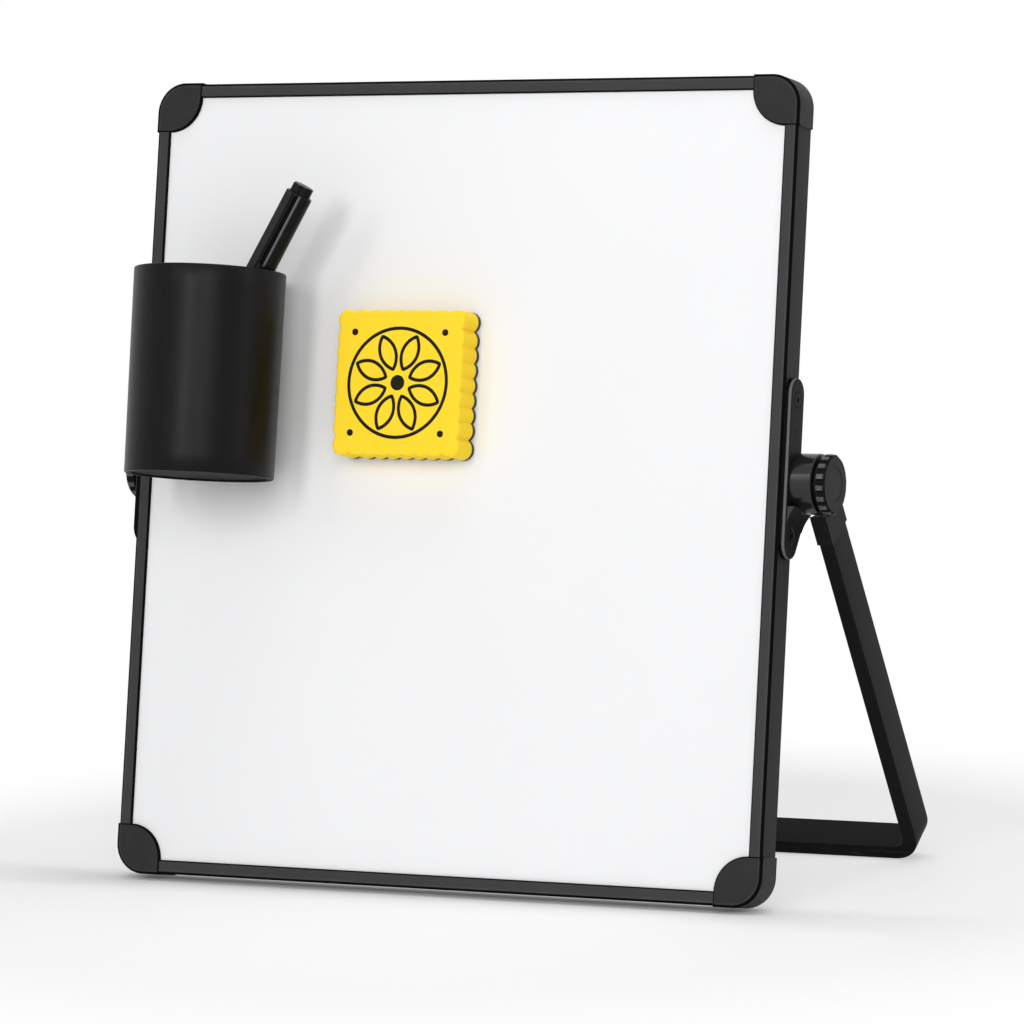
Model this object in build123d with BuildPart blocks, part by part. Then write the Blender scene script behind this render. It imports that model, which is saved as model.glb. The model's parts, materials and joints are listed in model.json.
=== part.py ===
from build123d import *

import os
from math import acos, atan2, cos, hypot, radians, sin

# A two-sided magnetic whiteboard that turns between the arms of a U-shaped stand.
# Frame: X along the board, +Y to the back, +Z up from the desk. The origin is on the
# desk, under the middle of the whole object.

# ---------------------------------------------------------------- driving dimensions
board_width = 314.4
board_height = 355.6
board_depth = 15.4
lean_back = 10.65  # degrees the top of the board leans away from the user

rail_face = 6.2  # visible width of a rail on the front of the board
rail_web = 1.5  # wall on the outer side of a rail
rail_lip = 1.4  # thickness of the lips that hold the panel
rail_edge_radius = 1.2
lip_tip_radius = 0.5
sheet_thickness = 0.4

cap_grip = 13.0  # a rail stops this far from the corner of the board
cap_proud = 0.5
cap_quarter_radius = 15.5  # round front of a cap, centred on the frame's inner corner
cap_edge_radius = 0.9

hinge_height = 3.7  # hinge axis above the middle of the board
bracket_width = 14.0
bracket_front_margin = 0.8
bracket_rise = 44.6  # from the hinge axis to the top of the plate
bracket_drop = 32.9
bracket_thickness = 3.0
bracket_edge_radius = 0.8
boss_radius = 13.1
boss_length = 9.7
boss_edge = 0.4
gusset_start = 20.9  # below the hinge axis
gusset_end = 10.6
gusset_height = 3.6
left_plate_thickness = 2.0
left_pad_radius = 10.5
left_pad_height = 0.6
dimple_rise = 21.7
dimple_length = 2.6
dimple_width = 1.0
dimple_depth = 0.3
screw_rise = 35.3
screw_drop = 23.1
screw_shank_radius = 1.75
screw_head_radius = 3.3
screw_head_height = 1.2
screw_head_round = 0.6
screw_head_play = 0.6
screw_length = 14.0
cross_length = 3.4
cross_width = 0.8
cross_depth = 0.8
cross_turn = 20.0

bolt_radius = 3.0
bolt_edge = 0.6
bolt_overrun = 0.9  # the bolt's tip stands this far out of the insert
insert_radius = 4.2
insert_length = 8.0
insert_recess = 0.2
left_insert_length = 3.0
stud_head_height = 1.4
friction_ring_radius = 9.0
friction_ring_thickness = 0.4
eye_radius = 10.5
eye_thickness = 1.4
washer_radius = 9.0
washer_thickness = 0.4

knob_radius = 13.0
knob_thickness = 4.1
knob_edge = 0.3
knob_face_edge = 1.1
knob_flutes = 16
flute_radius = 1.6
flute_depth = 1.2
knob_disc_radius = 7.2
knob_disc_thickness = 0.8
knob_disc_recess = 0.15
knob_disc_edge = 0.15
bolt_head_flats = 10.0
bolt_head_height = 2.2

tube_width = 17.6  # wide side of the flat tube, seen from the side of the easel
tube_thickness = 6.5
tube_wall = 1.0
tube_corner_radius = 1.0
tube_bend_inner_radius = 5.4
stand_length = 200.9  # from the hinge axis to the middle of the crossbar
tube_start = 26.0  # from the hinge axis to the cut end of the tube
collar_proud = 0.4
collar_arc_radius = 14.0
eye_root = 8.0  # how far the eye runs down over the collar
spigot_length = 20.0

cup_height = 91.0
cup_bottom_height = -2.0  # above the middle of the board
cup_side_margin = 50.75  # from the left side of the board to the axis of the cup
cup_standoff = 34.7  # from the front of the board to the axis of the cup
cup_top_radius = 33.65
cup_bottom_radius = 33.05
cup_wall = 1.6
cup_floor = 2.5
cup_rim_radius = 0.7
cup_foot_depth = 0.8
cup_foot_width = 3.0
cup_floor_radius = 1.5
pad_width = 26.0
pad_height = 68.0
pad_bottom = 10.0
pad_film = 0.5
pad_film_margin = 0.5
pad_film_corner = 1.5
cup_magnet_radius = 8.0
cup_magnet_thickness = 2.5
cup_magnet_spacing = 38.0

marker_length = 140.0
marker_radius = 5.8
marker_lean = 28.0  # degrees in the plane of the board
marker_cap_radius = 6.2
marker_cap_tip_radius = 6.0
marker_cap_start = 92.0
marker_plug_height = 4.2
marker_plug_radius = 4.9
marker_wall = 1.5
marker_tail_inset = 0.9
marker_tail_height = 1.2
marker_floor = 3.0
marker_neck_radius = 4.0
marker_neck_length = 16.0
marker_neck_wall = 0.8
marker_shoulder_height = 2.0
marker_nib_radius = 2.0
marker_nib_grip = 4.0
marker_nib_reach = 4.0
marker_nozzle_length = 9.0
marker_tip_room = 2.0
marker_cap_edge = 0.4
marker_slot_width = 1.9
marker_slot_length = 34.0
marker_slot_floor = 5.0  # from the axis of the marker to the floor of the slot
marker_slot_end = 0.8
marker_slot_turn = 20.0  # degrees round the marker from its front
marker_clip_width = 4.2
marker_clip_margin = 5.0
marker_clip_proud = 0.25
marker_clip_turn = -17.0
marker_notch_width = 0.9
marker_notch_depth = 1.0

eraser_x = -21.2
eraser_rise = 42.4
eraser_width = 63.1
eraser_height = 65.3
eraser_lobe_pitch = 6.35
eraser_side_pitch = 6.6
eraser_lobes = 7  # regular lobes on each side
eraser_lobe_radius = 4.7
eraser_corner_radius = 4.6
eraser_foam_thickness = 13.5
eraser_magnet_thickness = 0.6
eraser_felt_thickness = 1.4
eraser_edge = 1.0
eraser_edge_taper = 40.0  # degrees

running_fit = 0.05  # radial play of a shaft, pin or plug
air_gap = 0.3  # play of a moving or loosely seated piece

# --------------------------------------------------------------- places and planes
lean = radians(lean_back)
up = Vector(0, sin(lean), cos(lean))  # along the board, towards its top
into = Vector(0, cos(lean), -sin(lean))  # square to the board, towards its back
right = Vector(1, 0, 0)

# The board stands on the rounded lower rear edge of its two bottom caps.
foot_centre = board_depth + cap_proud - cap_edge_radius
foot_drop = board_height / 2 + cap_proud - cap_edge_radius
board_z = foot_centre * sin(lean) + foot_drop * cos(lean) + cap_edge_radius

# The stand leans back until the lower front corner of its crossbar is on the desk.
hinge_z = board_z - board_depth * sin(lean) + hinge_height * cos(lean)
corner_side = tube_width / 2 - tube_corner_radius
corner_reach = stand_length + tube_thickness / 2 - tube_corner_radius
stand_lean = atan2(corner_side, corner_reach) + acos(
    (hinge_z - tube_corner_radius) / hypot(corner_side, corner_reach)
)

# The origin is half-way between the front of the cup and the back of the crossbar.
cup_foot_radius = cup_bottom_radius - cup_rim_radius
front_reach = (
    (cup_standoff + cup_foot_radius) * cos(lean)
    - (cup_bottom_height + cup_rim_radius) * sin(lean)
    + cup_rim_radius
)
hinge_reach = board_depth * cos(lean) + hinge_height * sin(lean)
back_reach = (
    hinge_reach
    + corner_side * cos(stand_lean)
    + corner_reach * sin(stand_lean)
    + tube_corner_radius
)
board_y = (front_reach - back_reach) / 2

# Stacks on the hinge axis, measured outwards from the middle of the board. The left
# one has a low pad in place of the boss, so its arm and knob sit closer to the board.
side_face = board_width / 2
plate_face = side_face + bracket_thickness
boss_face = plate_face + boss_length
ring_face = boss_face + friction_ring_thickness
eye_face = ring_face + eye_thickness
washer_face = eye_face + washer_thickness
knob_face = washer_face + knob_thickness
left_plate_face = side_face + left_plate_thickness
left_pad_face = left_plate_face + left_pad_height
left_ring_face = left_pad_face + friction_ring_thickness
left_eye_face = left_ring_face + eye_thickness
left_washer_face = left_eye_face + washer_thickness
left_reach = left_ring_face + tube_thickness + collar_proud
board_x = (left_reach - knob_face) / 2

# Middle of the board, on its front face.
centre = Vector(board_x, board_y, board_z)
pivot = centre + into * board_depth + up * hinge_height
hinge_axis = Axis(pivot, right)
depth_axis = Axis(centre, into)

face_plane = Plane(origin=centre, x_dir=right, z_dir=into * -1)  # x right, y up the board
side_plane = Plane(origin=centre, x_dir=into, z_dir=right)  # x into the board, y up it
level_plane = Plane(origin=centre, x_dir=right, z_dir=up)  # x right, y into the board
board_middle = Plane(origin=centre, z_dir=up)

hinge_mirror = side_plane.offset((boss_face - left_pad_face) / 2)
plate_mirror = side_plane.offset((plate_face - left_plate_face) / 2)


def behind_front(depth):
    """Plane parallel to the board, the given depth behind its front face."""
    return face_plane.offset(-depth)


# ------------------------------------------------------------------- writing panel
panel_width = board_width - 2 * rail_web
panel_height = board_height - 2 * rail_web
panel_corner_radius = cap_grip - rail_web
rear_lip = board_depth - rail_lip
screw_line = bracket_front_margin + bracket_width / 2
screw_heights = (hinge_height + screw_rise, hinge_height - screw_drop)
screw_hole_radius = screw_shank_radius + running_fit
counterbore_radius = screw_head_radius + screw_head_play
counterbore_depth = screw_head_height + 2 * running_fit
screw_seat = plate_face - counterbore_depth
left_screw_seat = left_plate_face - counterbore_depth
screw_tip = screw_seat - screw_length
left_screw_tip = left_screw_seat - screw_length


def panel_layer(back, thickness):
    """One flat layer of the panel, whose rear face is the given depth behind the front."""
    with BuildPart() as layer:
        with BuildSketch(behind_front(back)):
            RectangleRounded(panel_width, panel_height, panel_corner_radius)
        extrude(amount=thickness)
    return layer


front_sheet = panel_layer(rail_lip + sheet_thickness, sheet_thickness)
rear_sheet = panel_layer(rear_lip, sheet_thickness)

with BuildPart() as board_core:
    with BuildSketch(behind_front(rear_lip - sheet_thickness)):
        RectangleRounded(panel_width, panel_height, panel_corner_radius)
    extrude(amount=rear_lip - rail_lip - 2 * sheet_thickness)
    # Pilot holes of the bracket screws, from both sides.
    with BuildSketch(side_plane.offset(side_face)) as pilot_right:
        with Locations(*[(screw_line, height) for height in screw_heights]):
            Circle(screw_hole_radius)
    extrude(amount=screw_tip - side_face - air_gap, mode=Mode.SUBTRACT)
    with BuildSketch(side_plane.offset(-side_face)) as pilot_left:
        with Locations(*[(screw_line, height) for height in screw_heights]):
            Circle(screw_hole_radius)
    extrude(amount=side_face - left_screw_tip + air_gap, mode=Mode.SUBTRACT)


# ------------------------------------------------------------------------- rails
def rail(start, length):
    """C-section rail; the plane has x towards the panel and y towards the back."""
    with BuildPart() as piece:
        with BuildSketch(start) as profile:
            with BuildLine():
                Polyline(
                    (0, 0),
                    (rail_face, 0),
                    (rail_face, rail_lip),
                    (rail_web, rail_lip),
                    (rail_web, rear_lip),
                    (rail_face, rear_lip),
                    (rail_face, board_depth),
                    (0, board_depth),
                    close=True,
                )
            make_face()
            fillet(profile.vertices().group_by(Axis.X)[0], rail_edge_radius)
            tips = profile.vertices().group_by(Axis.X)[-1].sort_by(Axis.Y)
            fillet([tips[0], tips[-1]], lip_tip_radius)
        extrude(amount=length)
    return piece


flat_rail_length = board_width - 2 * cap_grip
upright_rail_length = board_height - 2 * cap_grip
top_left = centre + up * (board_height / 2) - right * (flat_rail_length / 2)
bottom_right = centre - up * (board_height / 2) + right * (flat_rail_length / 2)
right_top = centre + right * side_face + up * (upright_rail_length / 2)

top_rail = rail(Plane(origin=top_left, x_dir=up * -1, z_dir=right), flat_rail_length)
bottom_rail = rail(Plane(origin=bottom_right, x_dir=up, z_dir=right * -1), flat_rail_length)
plain_rail = rail(Plane(origin=right_top, x_dir=right * -1, z_dir=up * -1), upright_rail_length)

with BuildPart() as right_rail:
    add(plain_rail.part)
    with BuildSketch(side_plane.offset(side_face)):
        with Locations(*[(screw_line, height) for height in screw_heights]):
            Circle(screw_hole_radius)
    extrude(amount=-2 * rail_web, mode=Mode.SUBTRACT)

with BuildPart() as left_rail:
    mirror(right_rail.part, about=side_plane)

# ------------------------------------------------------------------- corner caps
cap_x = side_face + cap_proud
cap_y = board_height / 2 + cap_proud
cap_end = rail_face + cap_quarter_radius
inner_x = side_face - rail_face
inner_y = board_height / 2 - rail_face
quarter_mid = cap_quarter_radius * cos(radians(45))
pocket_corner_radius = panel_corner_radius - 1.0  # leaves air round its corner

with BuildPart() as cap_top_right:
    with BuildSketch(behind_front(board_depth + cap_proud)) as cap_outline:
        with BuildLine():
            Polyline(
                (side_face - cap_end, inner_y),
                (side_face - cap_end, cap_y),
                (cap_x, cap_y),
                (cap_x, board_height / 2 - cap_end),
                (inner_x, board_height / 2 - cap_end),
            )
            ThreePointArc(
                (inner_x, board_height / 2 - cap_end),
                (inner_x - quarter_mid, inner_y - quarter_mid),
                (side_face - cap_end, inner_y),
            )
        make_face()
        outer_corner = cap_outline.vertices().sort_by(lambda v: v.X + v.Y)[-1]
        fillet(outer_corner, cap_grip + cap_proud)
    extrude(amount=board_depth + 2 * cap_proud)
    flat_faces = cap_top_right.faces().sort_by(depth_axis)
    rims = flat_faces[0].edges() + flat_faces[-1].edges()
    fillet(rims, cap_edge_radius)
    # Room for the panel and for the ends of the two rails.
    with BuildSketch(behind_front(rear_lip)):
        RectangleRounded(panel_width, panel_height, pocket_corner_radius)
    extrude(amount=rear_lip - rail_lip, mode=Mode.SUBTRACT)
    with BuildSketch(behind_front(board_depth)):
        with Locations((0, board_height / 2 - rail_face / 2)):
            Rectangle(flat_rail_length, rail_face)
        with Locations((side_face - rail_face / 2, 0)):
            Rectangle(rail_face, upright_rail_length)
    extrude(amount=board_depth, mode=Mode.SUBTRACT)

with BuildPart() as cap_top_left:
    mirror(cap_top_right.part, about=side_plane)

with BuildPart() as cap_bottom_right:
    mirror(cap_top_right.part, about=board_middle)

with BuildPart() as cap_bottom_left:
    mirror(cap_bottom_right.part, about=side_plane)

# ---------------------------------------------------------------- hinge brackets
plate_middle = hinge_height + (bracket_rise - bracket_drop) / 2
lower_end = hinge_height - bracket_drop + bracket_width / 2
bore_radius = insert_radius + running_fit
insert_outer = boss_face - insert_recess
bolt_tip = insert_outer - insert_length - bolt_overrun
bolt_end_room = 0.8

# A hull of the plate's lower end and the boss gives the flare at the back.
with BuildSketch() as flare:
    with Locations((screw_line, lower_end)):
        Circle(bracket_width / 2)
    with Locations((board_depth, hinge_height)):
        Circle(boss_radius)
    make_hull()

# Curved ramp from the lower screw up to the boss, trimmed to the flare.
with BuildPart() as gusset:
    with BuildSketch(behind_front(board_depth + 2 * boss_radius)):
        with BuildLine():
            foot = (plate_face, hinge_height - gusset_start)
            crest = (plate_face + gusset_height, hinge_height - gusset_end)
            TangentArc(foot, crest, tangent=(0, 1))
            Polyline(crest, (side_face, hinge_height - gusset_end))
            Polyline(
                (side_face, hinge_height - gusset_end),
                (side_face, hinge_height - gusset_start),
                foot,
            )
        make_face()
    extrude(amount=board_depth + 2 * boss_radius)
    with BuildSketch(side_plane.offset(side_face)):
        add(flare.sketch)
    extrude(amount=boss_length, mode=Mode.INTERSECT)

with BuildPart() as bracket_right:
    with BuildSketch(side_plane.offset(side_face)):
        with Locations((screw_line, plate_middle)):
            SlotOverall(bracket_rise + bracket_drop, bracket_width, rotation=90)
        add(flare.sketch)
    extrude(amount=bracket_thickness)
    fillet(bracket_right.faces().sort_by(Axis.X)[-1].edges(), bracket_edge_radius)
    add(gusset.part)
    with BuildSketch(side_plane.offset(side_face)):
        with Locations((board_depth, hinge_height)):
            Circle(boss_radius)
    extrude(amount=bracket_thickness + boss_length)
    chamfer(bracket_right.faces().sort_by(Axis.X)[-1].edges(), boss_edge)
    # Bore for the threaded insert, with room for the end of the bolt.
    with BuildSketch(side_plane.offset(boss_face)):
        with Locations((board_depth, hinge_height)):
            Circle(bore_radius)
    extrude(amount=insert_outer - insert_length - boss_face, mode=Mode.SUBTRACT)
    with BuildSketch(side_plane.offset(boss_face)):
        with Locations((board_depth, hinge_height)):
            Circle(bolt_radius + air_gap)
    extrude(amount=bolt_tip - bolt_end_room - boss_face, mode=Mode.SUBTRACT)
    # Counterbored screw holes and the small dimple between screw and boss.
    with BuildSketch(side_plane.offset(screw_seat)):
        with Locations(*[(screw_line, height) for height in screw_heights]):
            Circle(counterbore_radius)
    extrude(amount=counterbore_depth + gusset_height, mode=Mode.SUBTRACT)
    with BuildSketch(side_plane.offset(side_face)):
        with Locations(*[(screw_line, height) for height in screw_heights]):
            Circle(screw_hole_radius)
    extrude(amount=bracket_thickness, mode=Mode.SUBTRACT)
    with BuildSketch(side_plane.offset(plate_face)):
        with Locations((screw_line, hinge_height + dimple_rise)):
            SlotOverall(dimple_length, dimple_width, rotation=90)
    extrude(amount=-dimple_depth, mode=Mode.SUBTRACT)

with BuildPart() as bracket_left:
    with BuildSketch(side_plane.offset(-side_face)):
        with Locations((screw_line, plate_middle)):
            SlotOverall(bracket_rise + bracket_drop, bracket_width, rotation=90)
        add(flare.sketch)
    extrude(amount=-left_plate_thickness)
    fillet(bracket_left.faces().sort_by(Axis.X)[0].edges(), bracket_edge_radius)
    with BuildSketch(side_plane.offset(-side_face)):
        with Locations((board_depth, hinge_height)):
            Circle(left_pad_radius)
    extrude(amount=side_face - left_pad_face)
    # Pocket that keeps the head of the stud from turning, and the stud's hole.
    with BuildSketch(side_plane.offset(-side_face)):
        with Locations((board_depth, hinge_height)):
            RegularPolygon(bolt_head_flats / 2, 6, major_radius=False)
    extrude(amount=-stud_head_height, mode=Mode.SUBTRACT)
    with BuildSketch(side_plane.offset(-side_face)):
        with Locations((board_depth, hinge_height)):
            Circle(bolt_radius + running_fit)
        with Locations(*[(screw_line, height) for height in screw_heights]):
            Circle(screw_hole_radius)
    extrude(amount=side_face - left_pad_face, mode=Mode.SUBTRACT)
    with BuildSketch(side_plane.offset(-left_screw_seat)):
        with Locations(*[(screw_line, height) for height in screw_heights]):
            Circle(counterbore_radius)
    extrude(amount=-counterbore_depth, mode=Mode.SUBTRACT)
    with BuildSketch(side_plane.offset(-left_plate_face)):
        with Locations((screw_line, hinge_height + dimple_rise)):
            SlotOverall(dimple_length, dimple_width, rotation=90)
    extrude(amount=dimple_depth, mode=Mode.SUBTRACT)

with BuildPart() as screws_right:
    with BuildSketch(side_plane.offset(screw_seat)):
        with Locations(*[(screw_line, height) for height in screw_heights]):
            Circle(screw_head_radius)
    extrude(amount=screw_head_height)
    fillet(screws_right.faces().group_by(Axis.X)[-1].edges(), screw_head_round)
    with BuildSketch(side_plane.offset(screw_tip)):
        with Locations(*[(screw_line, height) for height in screw_heights]):
            Circle(screw_shank_radius)
    extrude(amount=screw_length)
    # Cross recess of each head.
    with BuildSketch(side_plane.offset(screw_seat + screw_head_height)):
        with Locations(*[(screw_line, height) for height in screw_heights]):
            Rectangle(cross_length, cross_width, rotation=cross_turn)
            Rectangle(cross_width, cross_length, rotation=cross_turn)
    extrude(amount=-cross_depth, mode=Mode.SUBTRACT)

with BuildPart() as bracket_screws:
    add(screws_right.part)
    mirror(screws_right.part, about=plate_mirror)


# ----------------------------------------------------------- rings on the hinge axis
def ring(start, length, outer_radius, inner_radius):
    """Round ring on the hinge axis, from the given place along it towards the right."""
    with BuildPart() as piece:
        with BuildSketch(side_plane.offset(start)):
            with Locations((board_depth, hinge_height)):
                Circle(outer_radius)
                Circle(inner_radius, mode=Mode.SUBTRACT)
        extrude(amount=length)
    return piece


insert_right = ring(
    insert_outer - insert_length, insert_length, insert_radius, bolt_radius + running_fit
)
friction_ring_right = ring(
    boss_face, friction_ring_thickness, friction_ring_radius, bolt_radius + air_gap
)
washer_right = ring(eye_face, washer_thickness, washer_radius, bolt_radius + running_fit)

left_insert_end = left_washer_face + left_insert_length
insert_left = ring(
    -left_insert_end, left_insert_length, insert_radius, bolt_radius + running_fit
)

with BuildPart() as friction_ring_left:
    mirror(friction_ring_right.part, about=hinge_mirror)

with BuildPart() as washer_left:
    mirror(washer_right.part, about=hinge_mirror)

# ------------------------------------------------------------------------- stand
across = Vector(0, cos(stand_lean), sin(stand_lean))  # square to the arm, upwards
arm_side = Plane(origin=pivot, x_dir=across, z_dir=right)  # y from foot to hinge
arm_front = Plane(origin=pivot, x_dir=right, z_dir=across * -1)
arm_x = eye_face - tube_thickness / 2
left_arm_x = -(left_ring_face + tube_thickness / 2)
tube_inner_face = eye_face - tube_thickness

with BuildPart() as stand_tube:
    with BuildLine(arm_front) as tube_path:
        FilletPolyline(
            (arm_x, -tube_start),
            (arm_x, -stand_length),
            (left_arm_x, -stand_length),
            (left_arm_x, -tube_start),
            radius=tube_bend_inner_radius + tube_thickness / 2,
        )
    with BuildSketch(Plane(origin=tube_path.line @ 0, x_dir=right, z_dir=tube_path.line % 0)):
        RectangleRounded(tube_thickness, tube_width, tube_corner_radius)
        Rectangle(
            tube_thickness - 2 * tube_wall, tube_width - 2 * tube_wall, mode=Mode.SUBTRACT
        )
    sweep()

collar_half = tube_width / 2 + collar_proud
spigot_width = tube_width - 2 * tube_wall - 4 * running_fit
spigot_thickness = tube_thickness - 2 * tube_wall - 4 * running_fit

with BuildPart() as leg_head_right:
    # Collar over the end of the tube, hollowed round the boss and the knob.
    with BuildSketch(arm_side.offset(tube_inner_face - collar_proud)):
        with Locations((0, -tube_start)):
            Rectangle(2 * collar_half, tube_start, align=(Align.CENTER, Align.MIN))
        Circle(collar_arc_radius, mode=Mode.SUBTRACT)
    extrude(amount=tube_thickness + 2 * collar_proud)
    # Thin eye that is clamped between the friction ring and the washer.
    with BuildSketch(arm_side.offset(ring_face)):
        with BuildSketch():
            Circle(eye_radius)
            with Locations((0, -tube_start)):
                Rectangle(2 * collar_half, eye_root, align=(Align.CENTER, Align.MIN))
            make_hull()
    extrude(amount=eye_thickness)
    with BuildSketch(arm_side.offset(ring_face)):
        Circle(bolt_radius + running_fit)
    extrude(amount=eye_thickness, mode=Mode.SUBTRACT)
    # Spigot inside the tube.
    with BuildSketch(arm_side.offset(arm_x - spigot_thickness / 2)):
        with Locations((0, -tube_start)):
            Rectangle(spigot_width, spigot_length, align=(Align.CENTER, Align.MAX))
    extrude(amount=spigot_thickness)

# The left leg head is the same moulding, so its eye lies on the inner side of the arm.
with BuildPart() as leg_head_left:
    add(leg_head_right.part.moved(Location(right * (left_arm_x - arm_x))))

# ------------------------------------------------------------------------- knobs
disc_floor = knob_face - knob_disc_thickness - knob_disc_recess
bolt_head_base = disc_floor - bolt_head_height
radial_plane = Plane(origin=pivot, x_dir=right, z_dir=into * -1)  # x out, y from the axis

with BuildPart() as plain_knob:
    with BuildSketch(radial_plane):
        with BuildLine():
            Polyline(
                (knob_face, 0),
                (washer_face, 0),
                (washer_face, knob_radius - knob_edge),
                (washer_face + knob_edge, knob_radius),
                (knob_face - knob_face_edge, knob_radius),
                (knob_face, knob_radius - knob_face_edge),
                close=True,
            )
        make_face()
    revolve(axis=hinge_axis)
    # Finger flutes round the rim.
    with BuildSketch(side_plane.offset(washer_face)):
        with Locations((board_depth, hinge_height)):
            with PolarLocations(knob_radius - flute_depth + flute_radius, knob_flutes):
                Circle(flute_radius)
    extrude(amount=knob_thickness, mode=Mode.SUBTRACT)
    # Recess of the closing disc.
    with BuildSketch(side_plane.offset(knob_face)):
        with Locations((board_depth, hinge_height)):
            Circle(knob_disc_radius + running_fit)
    extrude(amount=disc_floor - knob_face, mode=Mode.SUBTRACT)

# The right knob is moulded round the hexagonal head of its bolt.
with BuildPart() as knob_body_right:
    add(plain_knob.part)
    with BuildSketch(side_plane.offset(disc_floor)):
        with Locations((board_depth, hinge_height)):
            RegularPolygon(bolt_head_flats / 2, 6, major_radius=False)
    extrude(amount=-bolt_head_height, mode=Mode.SUBTRACT)
    with BuildSketch(side_plane.offset(bolt_head_base)):
        with Locations((board_depth, hinge_height)):
            Circle(bolt_radius + running_fit)
    extrude(amount=washer_face - bolt_head_base, mode=Mode.SUBTRACT)

with BuildPart() as knob_bolt_right:
    with BuildSketch(side_plane.offset(bolt_tip)):
        with Locations((board_depth, hinge_height)):
            Circle(bolt_radius)
    extrude(amount=bolt_head_base - bolt_tip)
    chamfer(knob_bolt_right.faces().sort_by(Axis.X)[0].edges(), bolt_edge)
    with BuildSketch(side_plane.offset(bolt_head_base)):
        with Locations((board_depth, hinge_height)):
            RegularPolygon(bolt_head_flats / 2, 6, major_radius=False)
    extrude(amount=bolt_head_height)

with BuildPart() as knob_disc_right:
    with BuildSketch(side_plane.offset(disc_floor)):
        with Locations((board_depth, hinge_height)):
            Circle(knob_disc_radius)
    extrude(amount=knob_disc_thickness)
    chamfer(knob_disc_right.faces().sort_by(Axis.X)[-1].edges(), knob_disc_edge)

# The left knob holds an insert, which runs on a stud that is fixed in the bracket.
with BuildPart() as knob_body_left:
    mirror(plain_knob.part, about=hinge_mirror)
    with BuildSketch(side_plane.offset(-left_washer_face)):
        with Locations((board_depth, hinge_height)):
            Circle(bore_radius)
    extrude(amount=-left_insert_length, mode=Mode.SUBTRACT)

with BuildPart() as knob_bolt_left:
    with BuildSketch(side_plane.offset(-left_insert_end)):
        with Locations((board_depth, hinge_height)):
            Circle(bolt_radius)
    extrude(amount=left_insert_end - side_face)
    chamfer(knob_bolt_left.faces().sort_by(Axis.X)[0].edges(), bolt_edge)
    with BuildSketch(side_plane.offset(-side_face)):
        with Locations((board_depth, hinge_height)):
            RegularPolygon(bolt_head_flats / 2, 6, major_radius=False)
    extrude(amount=-stud_head_height)

with BuildPart() as knob_disc_left:
    mirror(knob_disc_right.part, about=hinge_mirror)

# ----------------------------------------------------------------------- pen cup
sheet_face = rail_lip
cup_x = cup_side_margin - side_face
cup_top = cup_bottom_height + cup_height
cup_origin = centre + right * cup_x - into * cup_standoff
cup_plane = Plane(origin=cup_origin, x_dir=right, z_dir=into * -1)
cup_axis = Axis(cup_origin, up)
pad_back = sheet_face - pad_film
magnet_heights = [
    pad_bottom + pad_height / 2 + side * cup_magnet_spacing / 2 for side in (1, -1)
]

with BuildPart() as pen_cup:
    with BuildSketch(cup_plane) as cup_profile:
        with BuildLine():
            Polyline(
                (0, cup_bottom_height),
                (cup_bottom_radius, cup_bottom_height),
                (cup_top_radius, cup_top),
                (0, cup_top),
                close=True,
            )
        make_face()
        lower_corner = cup_profile.vertices().group_by(Axis.Y)[0].sort_by(Axis.X)[-1]
        fillet(lower_corner, cup_rim_radius)
    revolve(axis=cup_axis)
    # Flat-backed pad that carries the magnets.
    with BuildSketch(level_plane.offset(pad_bottom)):
        with Locations((cup_x, pad_back)):
            Rectangle(pad_width, cup_top_radius / 2, align=(Align.CENTER, Align.MAX))
    extrude(amount=pad_height)
    with BuildSketch(cup_plane) as cavity_profile:
        with BuildLine():
            Polyline(
                (0, cup_bottom_height + cup_floor),
                (cup_bottom_radius - cup_wall, cup_bottom_height + cup_floor),
                (cup_top_radius - cup_wall, cup_top),
                (0, cup_top),
                close=True,
            )
        make_face()
        floor_corner = cavity_profile.vertices().group_by(Axis.Y)[0].sort_by(Axis.X)[-1]
        fillet(floor_corner, cup_floor_radius)
    revolve(axis=cup_axis, mode=Mode.SUBTRACT)
    fillet(pen_cup.faces().sort_by(cup_axis)[-1].edges(), cup_rim_radius)
    # Shallow recess that leaves a foot ring.
    with BuildSketch(level_plane.offset(cup_bottom_height)):
        with Locations((cup_x, -cup_standoff)):
            Circle(cup_bottom_radius - cup_foot_width)
    extrude(amount=cup_foot_depth, mode=Mode.SUBTRACT)
    with BuildSketch(behind_front(pad_back)):
        with Locations(*[(cup_x, height) for height in magnet_heights]):
            Circle(cup_magnet_radius + running_fit)
    extrude(amount=cup_magnet_thickness, mode=Mode.SUBTRACT)

with BuildPart() as cup_magnets:
    with BuildSketch(behind_front(pad_back)):
        with Locations(*[(cup_x, height) for height in magnet_heights]):
            Circle(cup_magnet_radius)
    extrude(amount=cup_magnet_thickness)

with BuildPart() as cup_pad:
    with BuildSketch(behind_front(sheet_face)):
        with Locations((cup_x, pad_bottom + pad_height / 2)):
            RectangleRounded(
                pad_width - 2 * pad_film_margin,
                pad_height - 2 * pad_film_margin,
                pad_film_corner,
            )
    extrude(amount=pad_film)

# ------------------------------------------------------------------------ marker
# The marker leans against the rim of the cup, with its cap upwards.
tilt = radians(marker_lean)
marker_up = right * sin(tilt) + up * cos(tilt)
marker_out = right * cos(tilt) - up * sin(tilt)
tail_radius = marker_radius - marker_tail_inset
marker_foot_height = cup_bottom_height + cup_floor + air_gap + tail_radius * sin(tilt)
rim_offset = cup_top_radius - cup_wall - air_gap - marker_cap_radius / cos(tilt)
marker_foot_offset = rim_offset - (cup_top - marker_foot_height) * sin(tilt) / cos(tilt)
marker_foot = cup_origin + right * marker_foot_offset + up * marker_foot_height
marker_plane = Plane(origin=marker_foot, x_dir=marker_out, z_dir=into * -1)
marker_axis = Axis(marker_foot, marker_up)
marker_section = Plane(origin=marker_foot, x_dir=marker_out, z_dir=marker_up)

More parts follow.
